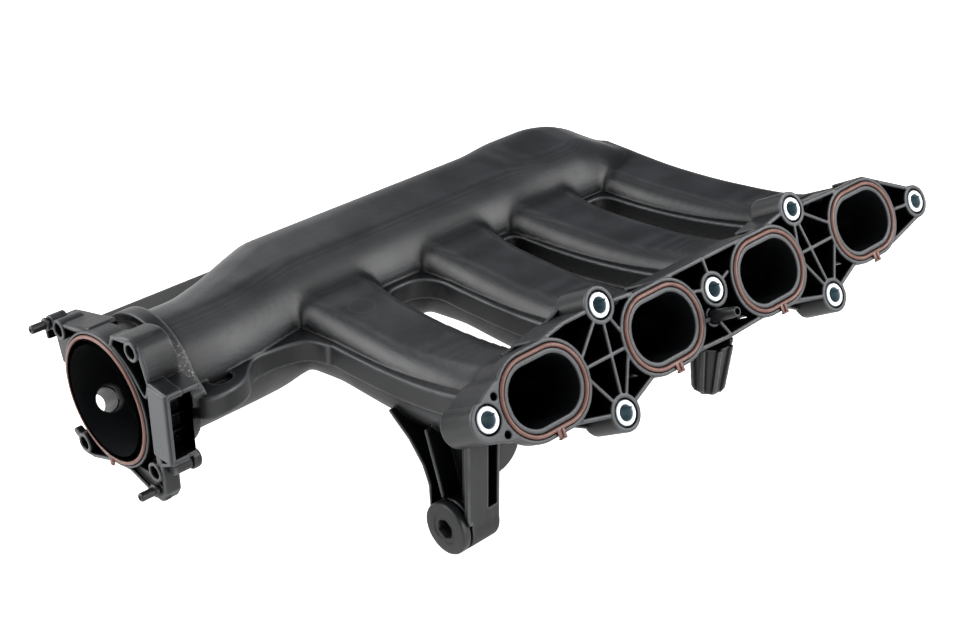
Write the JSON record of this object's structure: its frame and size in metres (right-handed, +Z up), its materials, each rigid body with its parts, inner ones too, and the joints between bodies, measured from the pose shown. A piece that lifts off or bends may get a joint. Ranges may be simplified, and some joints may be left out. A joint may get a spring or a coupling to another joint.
{
  "type": "intake manifold",
  "caption": "Moulded plastic inlet manifold: long plenum with a round throttle neck, short runners down to a leaning ribbed flange with seals and sleeves, and a screw-out leg bush.",
  "frame": {"origin": "middle of the row of ports, on the head flange's sealing face", "axes": "+X along the row of ports away from the throttle neck, +Y from the head flange towards the plenum, +Z up with the plenum's weld seam level"},
  "size_m": [0.514, 0.284, 0.1413],
  "materials": {
    "black_nylon": "satin charcoal glass-filled nylon with a fine grain",
    "seal_rubber": "smooth brown moulded rubber",
    "zinc_steel": "bright bluish zinc plate",
    "insert_brass": "turned brass"
  },
  "bodies": {
    "manifold": {"upper_shell": "black_nylon", "lower_shell": "black_nylon", "port_seal_1": "seal_rubber", "port_seal_2": "seal_rubber", "port_seal_3": "seal_rubber", "port_seal_4": "seal_rubber", "throttle_seal": "seal_rubber", "flange_sleeve_1": "zinc_steel", "flange_sleeve_2": "zinc_steel", "flange_sleeve_3": "zinc_steel", "flange_sleeve_4": "zinc_steel", "flange_sleeve_5": "zinc_steel", "flange_sleeve_6": "zinc_steel", "flange_sleeve_7": "zinc_steel", "locating_tube": "black_nylon", "throttle_insert_1": "insert_brass", "throttle_insert_2": "insert_brass", "throttle_insert_3": "insert_brass", "throttle_insert_4": "insert_brass", "throttle_peg_upper": "black_nylon", "throttle_peg_lower": "black_nylon", "bracket_plug": "black_nylon", "hose_nipple": "black_nylon", "leg_insert": "insert_brass", "post_insert": "insert_brass"},
    "clip": {"leg_clip": "zinc_steel"},
    "bush": {"leg_bush": "black_nylon"}
  },
  "joints": [
    {"name": "bush_slide", "type": "slide", "parent": "manifold", "child": "clip", "axis": [-1, 0, 0], "range_m": [-0.00105, 0.00305]},
    {"name": "bush_turn", "type": "hinge", "parent": "clip", "child": "bush", "pos_m": [-0.18, 0.04, -0.093], "axis": [-1, 0, 0], "range_deg": [-240, 720]}
  ],
  "couplings": [
    {"joint": "bush_slide", "follows": "bush_turn", "m_per_rad": 0.00023873}
  ]
}
